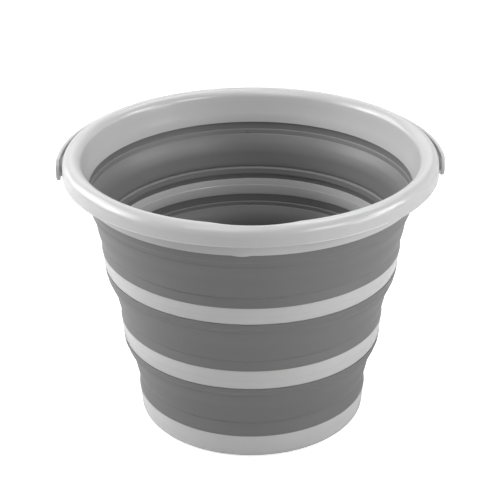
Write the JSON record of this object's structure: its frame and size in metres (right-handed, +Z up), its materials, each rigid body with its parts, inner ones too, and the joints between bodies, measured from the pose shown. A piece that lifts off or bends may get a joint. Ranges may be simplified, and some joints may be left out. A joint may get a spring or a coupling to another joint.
{
  "type": "collapsible camp bucket",
  "caption": "Folding camp bucket: a rigid rim, rigid bands and a rigid base joined by soft ring-shaped walls that fold inside one another, with a swinging bail handle.",
  "frame": {"origin": "on the bucket's axis, at the level of the foot that it stands on", "axes": "+Z up along the bucket's axis; X runs through the two handle pivots; the handle rests level round the +Y side, so -Y is the side that the picture shows in front"},
  "size_m": [0.3306, 0.325, 0.2453],
  "materials": {
    "base_plastic": "satin",
    "lower_wall_rubber": "satin",
    "lower_band_plastic": "satin",
    "middle_wall_rubber": "satin",
    "upper_band_plastic": "satin",
    "upper_wall_rubber": "satin",
    "rim_plastic": "satin",
    "handle_plastic": "satin"
  },
  "bodies": {
    "base_body": {"base": "base_plastic", "lower_wall": "lower_wall_rubber"},
    "lower_band_body": {"lower_band": "lower_band_plastic", "middle_wall": "middle_wall_rubber"},
    "upper_band_body": {"upper_band": "upper_band_plastic", "upper_wall": "upper_wall_rubber"},
    "rim_body": {"rim": "rim_plastic"},
    "handle_body": {"handle": "handle_plastic"}
  },
  "joints": [
    {"name": "lower_stage_fold", "type": "slide", "parent": "base_body", "child": "lower_band_body", "axis": [0, 0, -1], "range_m": [0, 0.062], "deforming": ["lower_wall"]},
    {"name": "middle_stage_fold", "type": "slide", "parent": "lower_band_body", "child": "upper_band_body", "axis": [0, 0, -1], "range_m": [0, 0.064], "deforming": ["middle_wall"]},
    {"name": "upper_stage_fold", "type": "slide", "parent": "upper_band_body", "child": "rim_body", "axis": [0, 0, -1], "range_m": [0, 0.063], "deforming": ["upper_wall"]},
    {"name": "handle_swing", "type": "hinge", "parent": "rim_body", "child": "handle_body", "pos_m": [0, 0, 0.2292], "axis": [1, 0, 0], "range_deg": [0, 180]}
  ]
}
